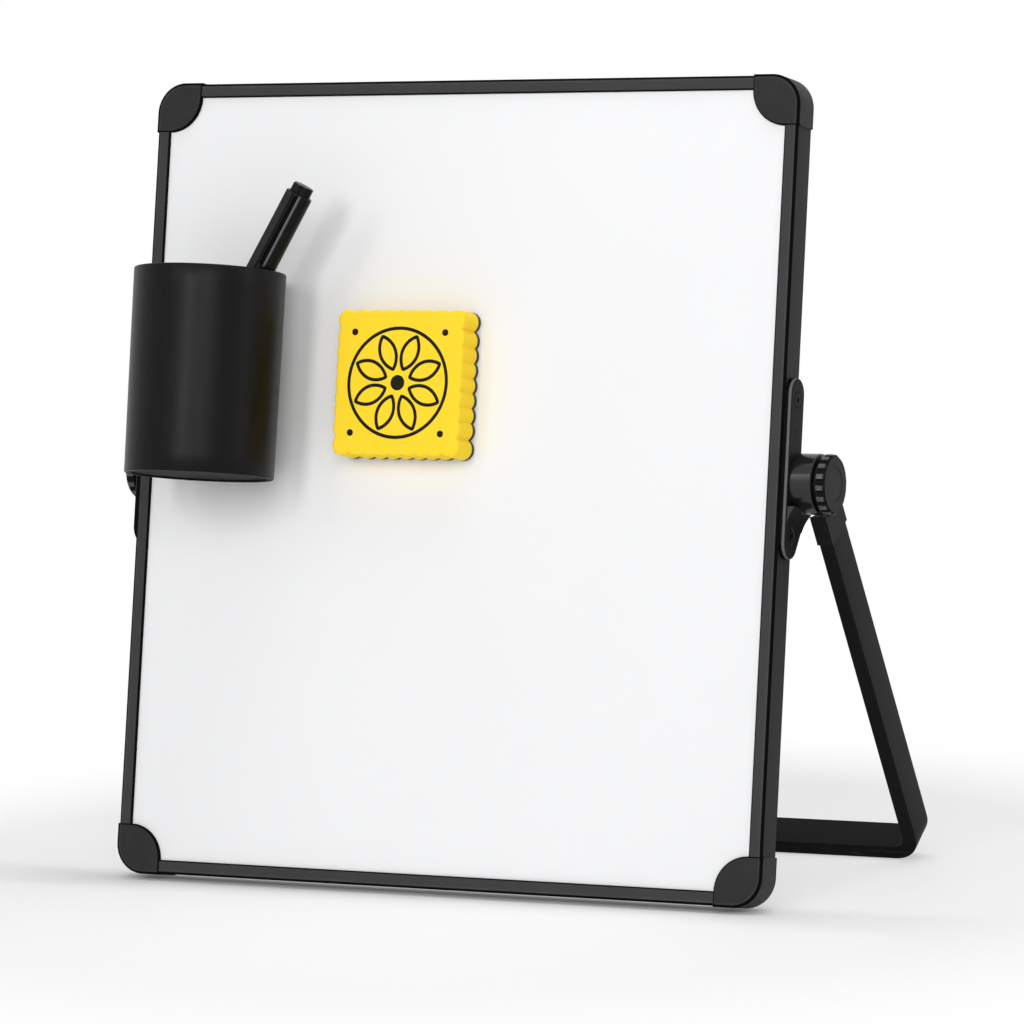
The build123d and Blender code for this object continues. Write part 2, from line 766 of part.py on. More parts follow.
barrel_inner_radius = marker_radius - marker_wall
neck_inner_radius = marker_nib_radius + running_fit
neck_end = marker_cap_start + marker_neck_length
nib_base = neck_end - marker_nib_grip
nozzle_end = neck_end + marker_nozzle_length
nib_end = nozzle_end + marker_nib_reach
bore_step = marker_neck_radius - marker_neck_wall
plug_start = marker_length - marker_plug_height

with BuildPart() as marker_barrel:
    with BuildSketch(marker_plane):
        with BuildLine():
            Polyline(
                (0, 0),
                (tail_radius, 0),
                (marker_radius, marker_tail_height),
                (marker_radius, marker_cap_start),
                (marker_neck_radius, marker_cap_start),
                (marker_neck_radius, neck_end),
                (marker_nib_radius + marker_neck_wall, nozzle_end),
                (neck_inner_radius, nozzle_end),
                (neck_inner_radius, nib_base),
                (bore_step, nib_base),
                (bore_step, marker_cap_start - marker_shoulder_height),
                (barrel_inner_radius, marker_cap_start - 2 * marker_shoulder_height),
                (barrel_inner_radius, marker_floor),
                (0, marker_floor),
                close=True,
            )
        make_face()
    revolve(axis=marker_axis)

with BuildPart() as marker_reservoir:
    with BuildSketch(marker_section.offset(marker_floor)):
        Circle(bore_step - air_gap)
    extrude(amount=nib_base - marker_floor)

with BuildPart() as marker_nib:
    with BuildSketch(marker_plane):
        with BuildLine():
            Polyline(
                (0, nib_end),
                (0, nib_base),
                (marker_nib_radius, nib_base),
                (marker_nib_radius, nib_end - marker_nib_radius),
            )
            RadiusArc(
                (marker_nib_radius, nib_end - marker_nib_radius),
                (0, nib_end),
                -marker_nib_radius,
            )
        make_face()
    revolve(axis=marker_axis)


def round_marker(turn):
    """Plane that faces out of the marker, turned by the given angle from its front."""
    angle = radians(turn)
    outwards = into * -cos(angle) + marker_out * sin(angle)
    return Plane(origin=marker_foot, x_dir=marker_up.cross(outwards), z_dir=outwards)


with BuildPart() as marker_cap_shell:
    with BuildSketch(marker_plane):
        with BuildLine():
            Polyline(
                (0, marker_cap_start),
                (marker_cap_radius, marker_cap_start),
                (marker_cap_tip_radius, plug_start - marker_cap_edge),
                (marker_cap_tip_radius - marker_cap_edge, plug_start),
                (0, plug_start),
                close=True,
            )
        make_face()
    revolve(axis=marker_axis)
    # Raised clip strip, then the slot beside it.
    with BuildSketch(round_marker(marker_clip_turn)):
        with Locations((0, plug_start)):
            Rectangle(
                marker_clip_width,
                plug_start - marker_cap_start - marker_clip_margin,
                align=(Align.CENTER, Align.MAX),
            )
    extrude(amount=marker_cap_radius + marker_clip_proud)
    with BuildSketch(round_marker(marker_slot_turn).offset(marker_slot_floor)):
        with Locations((0, plug_start - marker_slot_end - marker_slot_length / 2)):
            SlotOverall(marker_slot_length, marker_slot_width, rotation=90)
    extrude(amount=marker_cap_radius, mode=Mode.SUBTRACT)
    # Faceted end plug with a notch in line with the slot.
    with BuildSketch(marker_section.offset(plug_start)):
        RegularPolygon(marker_plug_radius, 8)
    extrude(amount=marker_plug_height)
    chamfer(marker_cap_shell.faces().sort_by(marker_axis)[-1].edges(), marker_cap_edge)
    notch_floor = marker_plug_radius - marker_notch_depth
    with BuildSketch(round_marker(marker_slot_turn).offset(notch_floor)):
        with Locations((0, marker_length)):
            Rectangle(marker_notch_width, 2 * marker_plug_height)
    extrude(amount=marker_cap_radius, mode=Mode.SUBTRACT)
    # Bore for the neck and the nib.
    with BuildSketch(marker_section.offset(marker_cap_start)):
        Circle(marker_neck_radius + running_fit)
    extrude(amount=nib_end + marker_tip_room - marker_cap_start, mode=Mode.SUBTRACT)

# ------------------------------------------------------------------------ eraser
lobe_x = eraser_width / 2 - eraser_lobe_radius
lobe_y = eraser_height / 2 - eraser_lobe_radius
corner_x = eraser_width / 2 - eraser_corner_radius
corner_y = eraser_height / 2 - eraser_corner_radius
lobe_steps = [index - (eraser_lobes - 1) / 2 for index in range(eraser_lobes)]

with BuildSketch() as scalloped:
    Rectangle(2 * corner_x, 2 * corner_y)
    with GridLocations(2 * corner_x, 2 * corner_y, 2, 2):
        Circle(eraser_corner_radius)
    for side in (-1, 1):
        with Locations(*[(step * eraser_lobe_pitch, side * lobe_y) for step in lobe_steps]):
            Circle(eraser_lobe_radius)
        with Locations(*[(side * lobe_x, step * eraser_side_pitch) for step in lobe_steps]):
            Circle(eraser_lobe_radius)


def eraser_plane(depth):
    """Plane parallel to the board, centred on the eraser."""
    return Plane(
        origin=centre + right * eraser_x + up * eraser_rise + into * depth,
        x_dir=right,
        z_dir=into * -1,
    )


felt_face = sheet_face - eraser_felt_thickness
foam_back = felt_face - eraser_magnet_thickness

with BuildPart() as eraser_felt:
    with BuildSketch(eraser_plane(sheet_face)):
        add(scalloped.sketch)
    extrude(amount=eraser_felt_thickness)

with BuildPart() as eraser_magnet:
    with BuildSketch(eraser_plane(felt_face)):
        add(scalloped.sketch)
    extrude(amount=eraser_magnet_thickness)

with BuildPart() as eraser_foam:
    with BuildSketch(eraser_plane(foam_back)):
        add(scalloped.sketch)
    extrude(amount=eraser_foam_thickness - eraser_edge)
    # The front edge is drawn in where the foam was cut.
    with BuildSketch(eraser_plane(foam_back - eraser_foam_thickness + eraser_edge)):
        add(scalloped.sketch)
    extrude(amount=eraser_edge, taper=eraser_edge_taper)

# ------------------------------------------------------------------ labels and files
pieces = {
    "front_sheet": front_sheet,
    "rear_sheet": rear_sheet,
    "board_core": board_core,
    "top_rail": top_rail,
    "bottom_rail": bottom_rail,
    "left_rail": left_rail,
    "right_rail": right_rail,
    "cap_top_left": cap_top_left,
    "cap_top_right": cap_top_right,
    "cap_bottom_left": cap_bottom_left,
    "cap_bottom_right": cap_bottom_right,
    "bracket_left": bracket_left,
    "bracket_right": bracket_right,
    "bracket_screws": bracket_screws,
    "insert_left": insert_left,
    "insert_right": insert_right,
    "friction_ring_left": friction_ring_left,
    "friction_ring_right": friction_ring_right,
    "stand_tube": stand_tube,
    "leg_head_left": leg_head_left,
    "leg_head_right": leg_head_right,
    "washer_left": washer_left,
    "washer_right": washer_right,
    "knob_body_left": knob_body_left,
    "knob_body_right": knob_body_right,
    "knob_bolt_left": knob_bolt_left,
    "knob_bolt_right": knob_bolt_right,
    "knob_disc_left": knob_disc_left,
    "knob_disc_right": knob_disc_right,
    "pen_cup": pen_cup,
    "cup_magnets": cup_magnets,
    "cup_pad": cup_pad,
    "marker_barrel": marker_barrel,
    "marker_nib": marker_nib,
    "marker_reservoir": marker_reservoir,
    "marker_cap_shell": marker_cap_shell,
    "eraser_foam": eraser_foam,
    "eraser_magnet": eraser_magnet,
    "eraser_felt": eraser_felt,
}

os.makedirs("parts", exist_ok=True)
for label, piece in pieces.items():
    piece.part.label = label
    export_step(piece.part, f"parts/{label}.step")
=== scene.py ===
import json
import math

import bmesh
import bpy
from mathutils import Matrix, Vector


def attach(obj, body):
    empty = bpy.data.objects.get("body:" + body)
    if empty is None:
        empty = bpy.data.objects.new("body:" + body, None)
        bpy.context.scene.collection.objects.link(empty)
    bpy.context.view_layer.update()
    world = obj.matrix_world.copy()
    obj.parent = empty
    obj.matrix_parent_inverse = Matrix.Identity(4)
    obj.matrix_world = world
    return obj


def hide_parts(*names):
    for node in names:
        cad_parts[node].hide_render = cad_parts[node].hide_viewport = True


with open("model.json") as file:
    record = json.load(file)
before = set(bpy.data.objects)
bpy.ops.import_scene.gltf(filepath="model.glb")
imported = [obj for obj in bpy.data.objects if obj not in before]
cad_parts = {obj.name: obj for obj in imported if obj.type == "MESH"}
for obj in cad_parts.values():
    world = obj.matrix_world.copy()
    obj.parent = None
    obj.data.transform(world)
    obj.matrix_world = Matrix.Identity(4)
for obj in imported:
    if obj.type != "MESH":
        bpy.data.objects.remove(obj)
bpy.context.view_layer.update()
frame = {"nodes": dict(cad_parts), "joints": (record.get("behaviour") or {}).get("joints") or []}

# ---------------------------------------------------------------------------------
# Writing panel. Two steel sheets with a baked white dry-wipe coating are glued to a
# board of pressed fibre. The coating is glossy, with a faint ripple from the oven
# and the haze that years of wiping leave in sweeps across it.

nodes = frame["nodes"]
joints = {joint["name"]: joint for joint in frame["joints"]}

mm = 0.001
board_depth = 15.4 * mm
hinge_rise = 3.7 * mm  # from the middle of the board up to the hinge axis

# The board leans back: up runs along its face, and into runs through it to the rear.
right = Vector((1, 0, 0))
up = Vector(joints["cup_slide"]["axis"]).normalized()
into = right.cross(up) * -1
hinge = Vector(joints["stand_tilt"]["pos_m"])
board_centre = hinge - into * board_depth - up * hinge_rise
board_lean = math.atan2(up.y, up.z)


class Wire:
    """A socket that a node gives out, used in sums as if it were a number."""

    def __init__(self, graph, socket):
        self.graph = graph
        self.socket = socket

    def maths(self, operation, *others):
        settings = {"operation": operation}
        return self.graph.node("ShaderNodeMath", settings, dict(enumerate((self, *others))))

    def __add__(self, other):
        return self.maths("ADD", other)

    __radd__ = __add__

    def __sub__(self, other):
        return self.maths("SUBTRACT", other)

    def __rsub__(self, other):
        return self * -1 + other

    def __mul__(self, other):
        return self.maths("MULTIPLY", other)

    __rmul__ = __mul__

    def __truediv__(self, other):
        return self.maths("DIVIDE", other)

    def __pow__(self, other):
        return self.maths("POWER", other)

    def __abs__(self):
        return self.maths("ABSOLUTE")

    def rise(self, low, high, start=0.0, end=1.0, kind="SMOOTHSTEP"):
        """Runs from start to end while this value runs from low to high."""
        sockets = {"Value": self, "From Min": low, "From Max": high}
        sockets.update({"To Min": start, "To Max": end})
        settings = {"interpolation_type": kind, "clamp": True}
        return self.graph.node("ShaderNodeMapRange", settings, sockets)


class Graph:
    """A node tree under construction."""

    def __init__(self, tree):
        self.tree = tree

    def node(self, kind, settings=(), sockets=(), out=0):
        """Adds a node with its settings, then the values or links of its sockets."""
        made = self.tree.nodes.new(kind)
        for name, value in dict(settings).items():
            setattr(made, name, value)
        for name, value in dict(sockets).items():
            if isinstance(value, Wire):
                self.tree.links.new(value.socket, made.inputs[name])
            else:
                made.inputs[name].default_value = value
        return Wire(self, made.outputs[out]) if made.outputs else None


class Finish(Graph):
    """A surface finish: one material on the principled shader."""

    def __init__(self, name):
        self.material = bpy.data.materials.new(name)
        self.material.use_nodes = True
        super().__init__(self.material.node_tree)
        self.tree.nodes.clear()
        self.shader = self.tree.nodes.new("ShaderNodeBsdfPrincipled")
        self.output = self.tree.nodes.new("ShaderNodeOutputMaterial")
        self.tree.links.new(self.shader.outputs[0], self.output.inputs["Surface"])
        self.place = self.node("ShaderNodeTexCoord", out="Object")

    def set(self, **sockets):
        """Sets the shader's sockets, named with underscores for spaces."""
        for name, value in sockets.items():
            socket = self.shader.inputs[name.replace("_", " ")]
            if isinstance(value, Wire):
                self.tree.links.new(value.socket, socket)
            else:
                socket.default_value = value

    def seen_from(self, origin, turn=(0, 0, 0), stretch=(1, 1, 1)):
        """The place on the piece, measured from an origin along turned axes."""
        sockets = {"Vector": self.place, "Location": origin, "Rotation": turn, "Scale": stretch}
        return self.node("ShaderNodeMapping", {"vector_type": "TEXTURE"}, sockets)

    def along_board(self, stretch=(1, 1, 1)):
        """x across the board, y into it and z up it, from the middle of its front."""
        return self.seen_from(board_centre, (-board_lean, 0, 0), stretch)

    def axes(self, place):
        split = {"Vector": place}
        return [self.node("ShaderNodeSeparateXYZ", (), split, out) for out in range(3)]

    def cloud(self, place, grain, detail=2.0, roughness=0.5):
        """Soft noise from 0 to 1, whose lumps are about one grain across, in metres."""
        sockets = {"Vector": place, "Scale": 1 / grain, "Detail": detail, "Roughness": roughness}
        return self.node("ShaderNodeTexNoise", (), sockets)

    def cells(self, place, grain):
        """Distance to the nearest of a scatter of points, one grain apart."""
        sockets = {"Vector": place, "Scale": 1 / grain}
        return self.node("ShaderNodeTexVoronoi", {"feature": "F1"}, sockets)

    def tint(self, amount, first, second):
        """A colour between two others."""
        sockets = {0: amount, 6: (*first, 1), 7: (*second, 1)}
        return self.node("ShaderNodeMix", {"data_type": "RGBA"}, sockets, 2)

    def relief(self, height, depth):
        """A normal from a height of 0 to 1 that stands for the given depth in metres."""
        sockets = {"Height": height, "Distance": depth, "Strength": 1.0}
        return self.node("ShaderNodeBump", (), sockets)


def soft_shading_rule():
    """Shades small facets as one curve and keeps the sharper corners crisp."""
    weld = 0.002 * mm
    crisp_angle = math.radians(32)
    group = bpy.data.node_groups.new("soft_shading", "GeometryNodeTree")
    group.interface.new_socket("Geometry", in_out="INPUT", socket_type="NodeSocketGeometry")
    group.interface.new_socket("Geometry", in_out="OUTPUT", socket_type="NodeSocketGeometry")
    graph = Graph(group)
    shape = graph.node("NodeGroupInput")
    shape = graph.node("GeometryNodeMergeByDistance", (), {"Geometry": shape, "Distance": weld})
    shape = graph.node("GeometryNodeSetShadeSmooth", {"domain": "FACE"}, {"Geometry": shape})
    corner = graph.node("GeometryNodeInputMeshEdgeAngle").maths("GREATER_THAN", crisp_angle)
    crisp = {"Geometry": shape, "Selection": corner, "Shade Smooth": False}
    shape = graph.node("GeometryNodeSetShadeSmooth", {"domain": "EDGE"}, crisp)
    graph.node("NodeGroupOutput", (), {"Geometry": shape})
    return group


soft_shading = soft_shading_rule()


def dress(finish, *names):
    """Gives solids of the frame their finish and soft shading."""
    for name in names:
        nodes[name].data.materials.clear()
        nodes[name].data.materials.append(finish.material)
        nodes[name].modifiers.new("soft shading", "NODES").node_group = soft_shading


def enamel_finish():
    finish = Finish("white_dry_wipe_enamel")
    flat = finish.along_board()
    sweeps = finish.cloud(finish.along_board((2.4, 1, 0.6)), 48 * mm, 1.0, 0.4)
    ripple = finish.cloud(flat, 3.2 * mm, 1.0)
    haze = finish.cloud(flat, 120 * mm, 2.0)
    finish.set(
        Base_Color=finish.tint(haze, (0.845, 0.850, 0.860), (0.870, 0.874, 0.884)),
        Roughness=sweeps.rise(0.3, 0.75, 0.265, 0.29) + haze * 0.03,
        Normal=finish.relief(ripple, 0.003 * mm),
        Specular_IOR_Level=0.4,
    )
    return finish


def fibreboard_finish():
    finish = Finish("pressed_fibreboard")
    flat = finish.along_board((1, 0.2, 1))
    fibres = finish.cloud(flat, 1.5 * mm, 4.0, 0.7)
    finish.set(
        Base_Color=finish.tint(fibres, (0.30, 0.19, 0.10), (0.52, 0.37, 0.22)),
        Roughness=fibres * 0.2 + 0.7,
        Normal=finish.relief(fibres, 0.15 * mm),
    )
    return finish


dress(enamel_finish(), "front_sheet", "rear_sheet")
dress(fibreboard_finish(), "board_core")

# ---------------------------------------------------------------------------------
# Frame rails. Thin rolled metal channels, powder coated a satin black, are pressed
# over the four edges of the panel. The coat has a fine orange-peel skin. A greyer band
# along the outer corners is partly wear and partly painted highlight, and the dark
# lines along the edges and the darker sides of the rails are painted shade.

board_width = 314.4 * mm
board_height = 355.6 * mm
rail_face = 6.2 * mm  # width of a rail, seen from the front
half_width = board_width / 2
half_height = board_height / 2
half_depth = board_depth / 2
soot = (0.001, 0.001, 0.0011)  # the black that the moulded and coated parts start from


def rail_finish():
    finish = Finish("rail_powder_coat")
    flat = finish.along_board()
    across, deep, high = finish.axes(flat)
    # Painted shade: dark lines run along both edges of a rail's face. Beside the outer
    # one runs a band that is partly wear and partly painted highlight.
    inset = (half_width - abs(across)).maths("MINIMUM", half_height - abs(high))
    face = abs(deep - half_depth).rise(half_depth - 1.4 * mm, half_depth - 1.1 * mm)
    outer_painted_shade = inset.rise(1.2 * mm, 0.95 * mm)
    inner_painted_shade = inset.rise(rail_face - 0.8 * mm, rail_face - 0.4 * mm)
    corner = outer_painted_shade.maths("MAXIMUM", inner_painted_shade) * face
    scuffs = finish.cloud(flat, 9 * mm, 5.0, 0.65).rise(0.42, 0.7)
    wear_and_painted_highlight = inset.rise(1.1 * mm, 1.3 * mm) * inset.rise(2.1 * mm, 1.5 * mm) * (scuffs * 0.7 + 0.3)
    skin = finish.cloud(flat, 0.55 * mm, 2.0, 0.6)
    mottle = finish.cloud(flat, 24 * mm, 2.0)
    # Painted shade: the rail's sides are toned darker than its face. The band by the outer line is
    # lighter, partly as wear and partly as painted highlight.
    tone = 0.16 + 0.29 * face + wear_and_painted_highlight * face * 0.25 + mottle * 0.12
    finish.set(
        Base_Color=finish.tint(tone * (1 - corner), soot, (0.090, 0.090, 0.094)),
        Roughness=0.46 + mottle * 0.08 + corner * 0.4,
        Normal=finish.relief(skin, 0.012 * mm),
        Specular_IOR_Level=0.07,
    )
    return finish


dress(rail_finish(), "top_rail", "bottom_rail", "left_rail", "right_rail")

# ---------------------------------------------------------------------------------
# Corner caps. Moulded covers of matt black plastic, snapped over the corners of the
# frame. The mould was spark-eroded, which gives a fine dry grain, and the tips have
# been polished by being set down on desks.

cap_corner_radius = 13 * mm
cap_leaf_radius = 15 * mm


def reach(first, second):
    """Distance from an axis, from the distances along the two other axes."""
    return (first * first + second * second) ** 0.5


def cap_finish():
    finish = Finish("corner_cap_plastic")
    flat = finish.along_board()
    across, deep, high = finish.axes(flat)
    outer_tip = half_width + half_height
    tip = (abs(across) + abs(high)).rise(outer_tip - 12 * mm, outer_tip - 6 * mm)
    # Painted shade: a dark line runs round the cap's outer corner. The dark line down
    # the end wall of its leaf marks its joint with the rail.
    past_x = (abs(across) - (half_width - cap_corner_radius)).maths("MAXIMUM", 0.0)
    past_y = (abs(high) - (half_height - cap_corner_radius)).maths("MAXIMUM", 0.0)
    inset = cap_corner_radius - reach(past_x, past_y)
    from_x = (half_width - rail_face - abs(across)).maths("MAXIMUM", 0.0)
    from_y = (half_height - rail_face - abs(high)).maths("MAXIMUM", 0.0)
    height = abs(deep - half_depth) - half_depth
    face = height.rise(-0.9 * mm, -0.5 * mm)
    end = reach(from_x, from_y).rise(cap_leaf_radius - 0.3 * mm, cap_leaf_radius)
    end = end * height.rise(-2.0 * mm, -1.7 * mm)
    corner = (inset.rise(0.75 * mm, 0.5 * mm) * face).maths("MAXIMUM", end)
    wear_and_painted_highlight = inset.rise(0.7 * mm, 0.9 * mm) * inset.rise(1.5 * mm, 1.1 * mm) * face
    grain = finish.cells(flat, 0.32 * mm)
    speckle = finish.cloud(flat, 0.9 * mm, 3.0, 0.6)
    flow = finish.cloud(flat, 14 * mm, 2.0)
    scuffs = finish.cloud(flat, 3 * mm, 4.0, 0.6).rise(0.45, 0.7)
    # Painted light: the cap's sides are toned lighter than its face. The band beside the outer
    # line is partly wear and partly painted highlight.
    tone = 0.25 + 0.12 * (1 - face) + tip * scuffs * 0.3 + wear_and_painted_highlight * 0.15 + flow * 0.15
    finish.set(
        Base_Color=finish.tint(tone * (1 - corner), soot, (0.085, 0.085, 0.088)),
        Roughness=0.52 + speckle * 0.08 + corner * 0.35,
        Normal=finish.relief(grain + speckle * 0.6, 0.014 * mm),
        Specular_IOR_Level=0.07,
    )
    return finish


dress(cap_finish(), "cap_top_left", "cap_top_right", "cap_bottom_left", "cap_bottom_right")

# ---------------------------------------------------------------------------------
# Hinge brackets. Each is one satin black moulding: a long plate screwed to the side
# rail, with a tall boss and curved gusset on the right and a low pad on the left. The
# boss is polished smooth, with faint scratches round it from moving the leg.

# Distances out from the side rail: painted shade ends at the first, a painted edge
# highlight runs out to the second, and the coat starts at the third.
plate_back = 1.5 * mm
plate_front = 2.9 * mm
boss_start = 3.1 * mm


def hinge_finish(name, edge, polish, grain):
    """Satin moulding with painted shade against the rail, polished clear of it, and a painted
    highlight along its edge.
    """
    finish = Finish(name)
    round_hinge = finish.seen_from(hinge)
    across, back, high = finish.axes(round_hinge)
    turned = finish.node("ShaderNodeCombineXYZ", (), {0: across * 40, 1: reach(back, high)})
    rings = finish.cloud(turned, grain * 3)
    flow = finish.cloud(round_hinge, 7 * mm, 3.0)
    skin = finish.cloud(round_hinge, grain, 2.0)
    scuffs = finish.cloud(round_hinge, 2.2 * mm, 5.0, 0.7).rise(0.56, 0.72)
    # Painted shade: within plate_back of the rail the moulding goes black (clear). A painted
    # highlight (rubbed), mottled by scuffs, runs round the plate's edge out to plate_front.
    off_rail = abs(across) - half_width
    rubbed = off_rail.rise(plate_back, plate_back + 0.2 * mm)
    rubbed = rubbed * off_rail.rise(plate_front, plate_front - 0.3 * mm) * (scuffs * 0.3 + 0.7)
    clear = off_rail.rise(plate_back - 0.1 * mm, plate_back + 0.1 * mm)
    tone = (scuffs * 0.06 + flow * 0.03 + 0.025 + rubbed * edge) * clear
    finish.set(
        Base_Color=finish.tint(tone, soot, (0.18, 0.18, 0.184)),
        Roughness=0.42 + flow * 0.07 + scuffs * 0.1,
        Normal=finish.relief(skin + rings * 0.5, 0.008 * mm),
        Specular_IOR_Level=0.04,
        Coat_Weight=off_rail.rise(boss_start, boss_start + 0.4 * mm) * polish,
        Coat_Roughness=0.17,
    )
    return finish


bracket_plastic = hinge_finish("bracket_plastic", 0.9, 0.7, 0.6 * mm)
dress(bracket_plastic, "bracket_left", "bracket_right")

# ---------------------------------------------------------------------------------
# Bracket screws. Four cross-head screws of blackened steel are sunk into the plates
# and hold them to the side rails. The driver has worn their heads a little brighter.


def screw_finish():
    finish = Finish("blackened_screw_steel")
    speckle = finish.cloud(finish.place, 0.35 * mm, 3.0)
    rubbed = finish.cloud(finish.place, 1.1 * mm, 4.0, 0.7).rise(0.5, 0.68)
    finish.set(
        Base_Color=finish.tint(rubbed * 0.6, (0.002, 0.002, 0.0021), (0.06, 0.058, 0.055)),
        Roughness=speckle * 0.15 + 0.4,
        Metallic=rubbed * 0.4,
        Specular_IOR_Level=0.06,
        Normal=finish.relief(speckle, 0.01 * mm),
    )
    return finish


dress(screw_finish(), "bracket_screws")

# ---------------------------------------------------------------------------------
# Pivot hardware. A brass insert sits in the right boss and another in the left knob,
# for the bolts. A dark fibre ring gives the drag between each bracket and leg, and a
# steel washer takes the push of each knob.


def turned_metal_finish(name, colour, metal_grain):
    """Metal with fine marks of turning round the hinge axis."""
    finish = Finish(name)
    across, back, high = finish.axes(finish.seen_from(hinge))
    turned = finish.node("ShaderNodeCombineXYZ", (), {0: reach(back, high), 1: across * 0.2})
    marks = finish.cloud(turned, metal_grain, 3.0)
    tarnish = finish.cloud(finish.place, 2.5 * mm, 4.0)
    dull = tuple(0.6 * part for part in colour)
    finish.set(
        Base_Color=finish.tint(tarnish, dull, colour),
        Metallic=1.0,
        Roughness=marks * 0.2 + 0.22,
        Normal=finish.relief(marks, 0.01 * mm),
    )
    return finish


def fibre_ring_finish():
    finish = Finish("friction_fibre")
    fibres = finish.cloud(finish.place, 0.4 * mm, 4.0, 0.7)
    finish.set(
        Base_Color=finish.tint(fibres, (0.012, 0.011, 0.010), (0.05, 0.045, 0.04)),
        Roughness=fibres * 0.15 + 0.75,
        Normal=finish.relief(fibres, 0.05 * mm),
    )
    return finish


brass = turned_metal_finish("insert_brass", (0.72, 0.50, 0.19), 0.12 * mm)
dress(brass, "insert_left", "insert_right")
dress(fibre_ring_finish(), "friction_ring_left", "friction_ring_right")
zinc = turned_metal_finish("zinc_plated_steel", (0.56, 0.57, 0.58), 0.1 * mm)
dress(zinc, "washer_left", "washer_right", "knob_bolt_left", "knob_bolt_right")

# ---------------------------------------------------------------------------------
# Stand. One flat steel tube is bent into a U and powder coated; its crossbar is the
# rear foot, rubbed thin where it slides on desks. Moulded heads, plugged into the ends
# of the tube, turn on the hinge.


def tube_finish():
    finish = Finish("stand_powder_coat")
    above_desk = finish.axes(finish.place)[2]
    skin = finish.cloud(finish.place, 0.5 * mm, 2.0, 0.6)
    mottle = finish.cloud(finish.place, 18 * mm, 3.0)
    along_foot = finish.seen_from((0, 0, 0), stretch=(8, 1, 1))
    streaks = finish.cloud(along_foot, 1.4 * mm, 4.0, 0.7).rise(0.5, 0.72)
    rubbed = above_desk.rise(6 * mm, 0.2 * mm) * streaks
    tone = rubbed * 0.5 + mottle * 0.06
    finish.set(
        Base_Color=finish.tint(tone, (0.0045, 0.0045, 0.0048), (0.075, 0.073, 0.07)),
        Roughness=0.42 + mottle * 0.1 + rubbed * 0.15,
        Normal=finish.relief(skin, 0.012 * mm),
        Specular_IOR_Level=0.045,
    )
    return finish


dress(tube_finish(), "stand_tube")
leg_plastic = hinge_finish("leg_head_plastic", 0.0, 0.05, 0.5 * mm)
dress(leg_plastic, "leg_head_left", "leg_head_right")

# ---------------------------------------------------------------------------------
# Clamping knobs. Fluted satin black plastic, moulded round the head of the bolt on
# the right and round the insert on the left, with a plain disc over the outer face.
# The ridges between the flutes are toned lighter, partly as finger wear and partly as
# a painted highlight, and the flutes carry painted shade.

knob_radius = 13.0 * mm


def knob_finish(name, light):
    """Plastic with lighter ridges, partly wear and partly painted highlight, and painted shade in
    the flutes, by depth under the rim.
    """
    finish = Finish(name)
    round_hinge = finish.seen_from(hinge)
    back, high = finish.axes(round_hinge)[1:]
    depth = knob_radius - reach(back, high)
    grain = finish.cells(round_hinge, 0.3 * mm)
    flow = finish.cloud(round_hinge, 5 * mm, 3.0)
    scuffs = finish.cloud(round_hinge, 1.6 * mm, 4.0, 0.7).rise(0.4, 0.7)
    # Ridges: partly wear, partly painted highlight. Flutes: painted shade.
    ridge_wear_and_highlight = depth.rise(0.35 * mm, 0.1 * mm) * (scuffs * 0.6 + 0.4)
    painted_flute_shade = depth.rise(0.4 * mm, 0.7 * mm) * depth.rise(1.4 * mm, 1.1 * mm)
    tone = (ridge_wear_and_highlight * 0.8 + flow * 0.08 + light) * (1 - painted_flute_shade * 0.9)
    finish.set(
        Base_Color=finish.tint(tone, (0.002, 0.002, 0.0021), (0.09, 0.09, 0.092)),
        Roughness=0.44 + flow * 0.08 - ridge_wear_and_highlight * 0.06,
        Normal=finish.relief(grain, 0.010 * mm),
        Specular_IOR_Level=0.05,
        Coat_Weight=depth.rise(0.5 * mm, 0.3 * mm) * 0.6,
        Coat_Roughness=0.25,
    )
    return finish


dress(knob_finish("knob_plastic", 0.17), "knob_body_left", "knob_body_right")
dress(knob_finish("knob_disc_plastic", 0.22), "knob_disc_left", "knob_disc_right")

# ---------------------------------------------------------------------------------
# Pen cup. A tapered, satin black moulding with a rolled rim, a foot ring and a flat
# pad for its magnets. The polished mould leaves a smooth skin with a faint drag in
# the direction of draw, and pens have scratched the inside.

cup_offset = -106.45 * mm  # from the middle of the board across to the cup's axis
cup_standoff = 34.7 * mm  # from the front of the board to that axis
cup_bore = 32.1 * mm
cup_axis_at = board_centre + right * cup_offset - into * cup_standoff
cup_heights = [corner.co.dot(up) for corner in nodes["pen_cup"].data.vertices]
cup_low = min(cup_heights) - cup_axis_at.dot(up)


def cup_finish():
    finish = Finish("cup_plastic")
    around = finish.seen_from(cup_axis_at, (-board_lean, 0, 0))
    along_draw = finish.seen_from(cup_axis_at, (-board_lean, 0, 0), (1, 1, 14))
    along_pens = finish.seen_from(cup_axis_at, (-board_lean, 0.5, 0), (1, 1, 30))
    across, deep, high = finish.axes(around)
    drag = finish.cloud(along_draw, 2.2 * mm, 3.0, 0.6)
    skin = finish.cloud(around, 0.45 * mm, 2.0)
    inside = reach(across, deep).rise(cup_bore + 0.4 * mm, cup_bore)
    under = high.rise(cup_low + 2.4 * mm, cup_low + 2.0 * mm) * inside
    scratches = finish.cloud(along_pens, 0.9 * mm, 4.0, 0.7).rise(0.56, 0.66)
    dust = finish.cloud(around, 6 * mm, 5.0, 0.65).rise(0.45, 0.75)
    tone = inside * scratches * 0.4 + dust * 0.015 + drag * 0.015
    finish.set(
        Base_Color=finish.tint(tone, (0.0012, 0.0012, 0.0014), (0.10, 0.10, 0.102)),
        Roughness=0.34 + drag * 0.05 + inside * 0.12 + under * 0.2 + dust * 0.04,
        Normal=finish.relief(drag * 0.5 + skin * 0.6, 0.008 * mm),
        Specular_IOR_Level=0.125,
    )
    return finish


dress(cup_finish(), "pen_cup")

